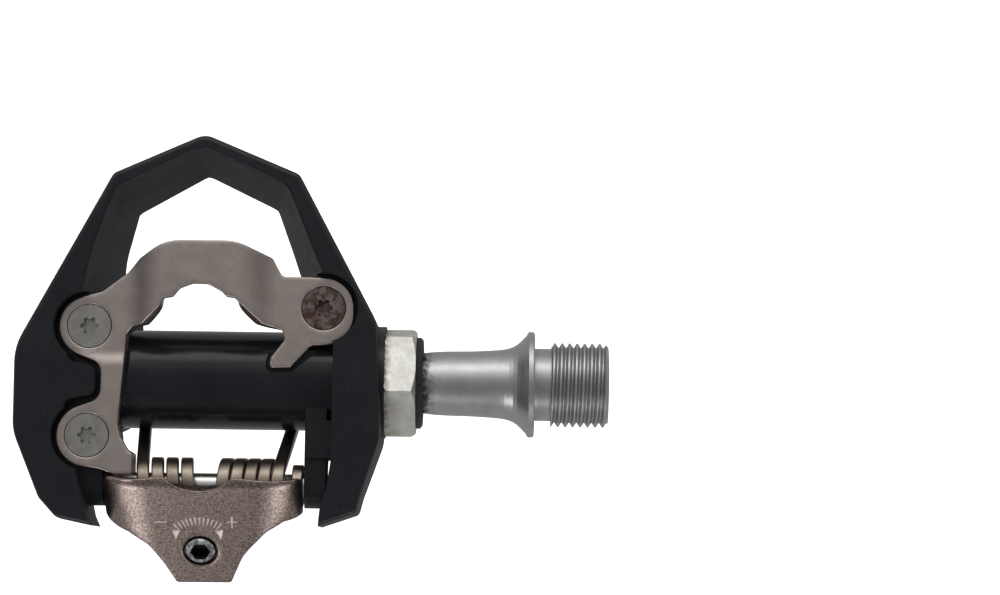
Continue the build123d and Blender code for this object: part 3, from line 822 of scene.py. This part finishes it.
def body_paint():
    """Near-black satin paint with orange peel and scuffs, duller cast sides and a glossy barrel."""
    f = Finish("body_paint", 0.0, specular=0.26)
    patches = f.remap(f.noise(0.12, 2.0), 0.35, 0.65)
    base = f.mix(patches, (0.008, 0.0098, 0.0125), (0.0115, 0.0138, 0.0168))
    scuffs = f.remap(f.noise(1.1, 8.0, stretch=(1.0, 0.35, 1.0), shift=11.0), 0.66, 0.72, 0.0, 0.35)
    f.colour(f.mix(scuffs, base, (0.06, 0.065, 0.07)))
    rough = f.remap(f.noise(0.5, 5.0, shift=5.0), 0.3, 0.7, 0.30, 0.40)
    y = f.along("Y")
    z = f.along("Z")
    from_axis = f.math("SQRT", f.math("ADD", f.math("MULTIPLY", y, y), f.math("MULTIPLY", z, z)))
    barrel = f.remap(from_axis, 8.38, 8.46, 1.0, 0.0)
    barrel_free = f.math("SUBTRACT", 1.0, barrel)
    geometry = f.node("ShaderNodeNewGeometry")
    upright = f.vector("DOT_PRODUCT", geometry.outputs["Normal"], (0, 0, 1))
    dullness = f.remap(f.math("ABSOLUTE", upright), 0.15, 0.5, 0.3, 0.0)
    cast_side = f.math("MULTIPLY", dullness, barrel_free)
    painted = f.math("SUBTRACT", rough, f.math("MULTIPLY", barrel, 0.14))
    f.roughness(f.math("ADD", painted, cast_side))
    f.bump(f.noise(2.6, 3.0), 0.012, 0.5)
    f.bump(f.noise(14.0, 2.0), 0.003, 0.5)
    return f


def plate_steel():
    """Warm nickel plating, satin, with fine scratches along the strip."""
    f = grained_metal("plate_steel", (0.36, 0.31, 0.28), (0.47, 0.415, 0.385), (0.34, 0.46), contrast=1.4)
    scratch = f.remap(f.noise(2.4, 4.0, stretch=(3.0, 0.15, 1.0), shift=2.0), 0.6, 0.75)
    f.bump(scratch, 0.004, 0.6)
    return f


def claw_steel():
    """Browner plating with a sparkling coarse grain."""
    return grained_metal(
        "claw_steel", (0.115, 0.085, 0.073), (0.41, 0.335, 0.30), (0.26, 0.42),
        grain=6.5, blotch=2.0, contrast=3.2, depth=0.02,
    )


def screw_steel():
    """Satin zinc with a little dirt."""
    return grained_metal("screw_steel", (0.30, 0.285, 0.26), (0.47, 0.46, 0.44), (0.28, 0.42), blotch=0.6)


def screw_stained():
    """Tarnished zinc, brown with grey patches."""
    f = Finish("screw_stained", 1.0)
    patches = f.remap(f.noise(0.8, 5.0), 0.42, 0.6)
    f.colour(f.mix(patches, (0.10, 0.062, 0.052), (0.24, 0.20, 0.185)))
    f.roughness(f.remap(f.noise(3.0, 3.0), 0.3, 0.7, 0.3, 0.48))
    f.bump(f.noise(6.0, 3.0), 0.008)
    return f


def turned_metal(name, dark, light, rough, lines=9.0):
    """Turned steel: fine rings about the spindle axis."""
    f = Finish(name, 1.0)
    rings = f.noise(1.0, 3.0, stretch=(lines, 0.05, 0.05))
    soft = f.noise(0.3, 3.0, shift=4.0)
    share = f.math("ADD", f.math("MULTIPLY", rings, 0.5), soft)
    f.colour(f.mix(f.remap(share, 0.45, 1.05), dark, light))
    f.roughness(f.remap(rings, 0.3, 0.7, *rough))
    f.bump(rings, 0.002, 0.5)
    return f


def spindle_steel():
    """Satin turned steel, with grime smeared beside the dust seal."""
    f = turned_metal("spindle_steel", (0.36, 0.36, 0.365), (0.48, 0.48, 0.485), (0.34, 0.44))
    near_seal = f.remap(f.along("X"), -18.6, -16.6, 1.0, 0.0)
    smears = f.math("MULTIPLY", near_seal, f.remap(f.noise(1.3, 5.0, shift=13.0), 0.42, 0.58))
    f.colour(f.mix(smears, f.base, (0.09, 0.07, 0.04)))
    return f


def lock_bolt_steel():
    """Pale satin plating with greenish-brown grime where it meets the body."""
    f = Finish("lock_bolt_steel", 1.0)
    plating = f.mix(f.remap(f.noise(0.35, 3.0), 0.35, 0.65), (0.50, 0.49, 0.45), (0.64, 0.635, 0.60))
    edge = f.remap(f.along("X"), -25.2, -24.1, 1.0, 0.0)
    patch = f.remap(f.noise(0.9, 5.0, shift=9.0), 0.35, 0.6)
    grime = f.math("MULTIPLY", edge, patch)
    spots = f.remap(f.noise(1.6, 6.0, shift=21.0), 0.63, 0.7, 0.0, 0.5)
    dirty = f.mix(f.math("MAXIMUM", grime, spots), plating, (0.16, 0.13, 0.07))
    f.colour(dirty)
    f.roughness(f.remap(f.noise(2.2, 4.0), 0.3, 0.7, 0.34, 0.5))
    f.bump(f.noise(5.0, 3.0), 0.008, 0.7)
    return f


def bolt_steel():
    """Bright zinc head with strong light and dark patches painted as glints, and painted shade darkening the
    socket.
    """
    f = Finish("bolt_steel", 1.0)
    # Painted glints: the zinc colour swings in random patches from near-black to near-white.
    zinc_with_glints = f.mix(f.remap(f.noise(1.1, 4.0), 0.4, 0.6), (0.26, 0.27, 0.28), (0.86, 0.86, 0.84))
    head = Vector((0, LIP_Y, LIP_Z)) + DOWN * BOLT_DOWN_SLOPE
    height = f.vector("DOT_PRODUCT", f.place, tuple(OUT))
    # Painted shade: everything more than about 0.35 mm below the head's top is darkened to near-black.
    socket_shade = f.remap(height, head.dot(OUT) - 0.9, head.dot(OUT) - 0.35, 1.0, 0.0)
    f.colour(f.mix(socket_shade, zinc_with_glints, (0.05, 0.045, 0.04)))
    f.roughness(f.remap(f.noise(4.0, 3.0, shift=3.0), 0.3, 0.7, 0.16, 0.3))
    f.bump(f.noise(5.0, 3.0), 0.006)
    return f


def mark_steel():
    """Raised marks painted paler than the claw, a painted highlight for the light their ridges catch."""
    f = Finish("mark_steel", 0.35)
    # Painted highlight: a pale, partly metallic colour makes the marks bright under any light.
    f.colour(f.mix(f.remap(f.noise(4.0, 3.0), 0.35, 0.65), (0.58, 0.51, 0.47), (0.85, 0.77, 0.72)))
    f.roughness(f.remap(f.noise(5.0, 3.0, shift=3.0), 0.3, 0.7, 0.4, 0.55))
    return f


def seal_rubber():
    """Matt black rubber with dust."""
    f = Finish("seal_rubber", 0.0, specular=0.3)
    dust = f.remap(f.noise(1.5, 5.0), 0.45, 0.7, 0.0, 0.5)
    f.colour(f.mix(dust, (0.012, 0.012, 0.013), (0.05, 0.047, 0.042)))
    f.roughness(f.remap(f.noise(3.0, 3.0), 0.3, 0.7, 0.55, 0.8))
    f.bump(f.noise(8.0, 3.0), 0.01)
    return f


def make_finishes():
    """Every slot's material by name."""
    made = {
        "body_paint": body_paint(),
        "plate_steel": plate_steel(),
        "claw_steel": claw_steel(),
        "mark_steel": mark_steel(),
        "screw_steel": screw_steel(),
        "screw_stained": screw_stained(),
        "pin_steel": turned_metal("pin_steel", (0.5, 0.49, 0.47), (0.72, 0.71, 0.69), (0.18, 0.3)),
        "spring_steel": grained_metal("spring_steel", (0.17, 0.135, 0.105), (0.33, 0.28, 0.235), (0.3, 0.42)),
        "bolt_steel": bolt_steel(),
        "spindle_steel": spindle_steel(),
        "lock_bolt_steel": lock_bolt_steel(),
        "bearing_steel": turned_metal("bearing_steel", (0.62, 0.62, 0.62), (0.76, 0.76, 0.76), (0.1, 0.18)),
        "inner_steel": turned_metal("inner_steel", (0.38, 0.37, 0.36), (0.5, 0.5, 0.49), (0.28, 0.42)),
        "seal_rubber": seal_rubber(),
    }
    return {name: finish.material for name, finish in made.items()}


FINISH_OF = {
    "pedal_body": "body_paint",
    "front_plate": "plate_steel",
    "plate_screw_front_left": "screw_steel",
    "plate_screw_rear_left": "screw_steel",
    "plate_screw_front_right": "screw_stained",
    "rear_claw": "claw_steel",
    "pivot_pin": "pin_steel",
    "tension_bolt": "bolt_steel",
    "adjuster_plate": "inner_steel",
    "left_spring": "spring_steel",
    "right_spring": "spring_steel",
    "spindle": "spindle_steel",
    "lock_bolt": "lock_bolt_steel",
    "dust_seal": "seal_rubber",
    "body_seal": "seal_rubber",
    "bearing_sleeve": "inner_steel",
    "inboard_balls": "bearing_steel",
    "outboard_balls": "bearing_steel",
    "bearing_cone": "inner_steel",
    "lock_nut": "inner_steel",
}


def finish_cad_nodes():
    """Gives each carried-over CAD node its own finish."""
    for name, obj in nodes.items():
        obj.data.materials.clear()
        obj.data.materials.append(finishes[FINISH_OF[name]])


# ---------------------------------------------------------------- assembly

make_camera()
make_world()
make_floor()
area_light("key", PEDAL_MIDDLE, *KEY_LIGHT)
area_light("left_kicker", CLAW_MIDDLE, *LEFT_KICKER)
area_light("right_kicker", CLAW_MIDDLE, *RIGHT_KICKER)
finishes = make_finishes()
finish_cad_nodes()
build_front_plate()
build_rear_claw()
build_adjuster_marks()
build_spring("left_spring", -65.4, 2.48, 3, 1)
build_spring("right_spring", -42.4, 2.28, 4, -1)
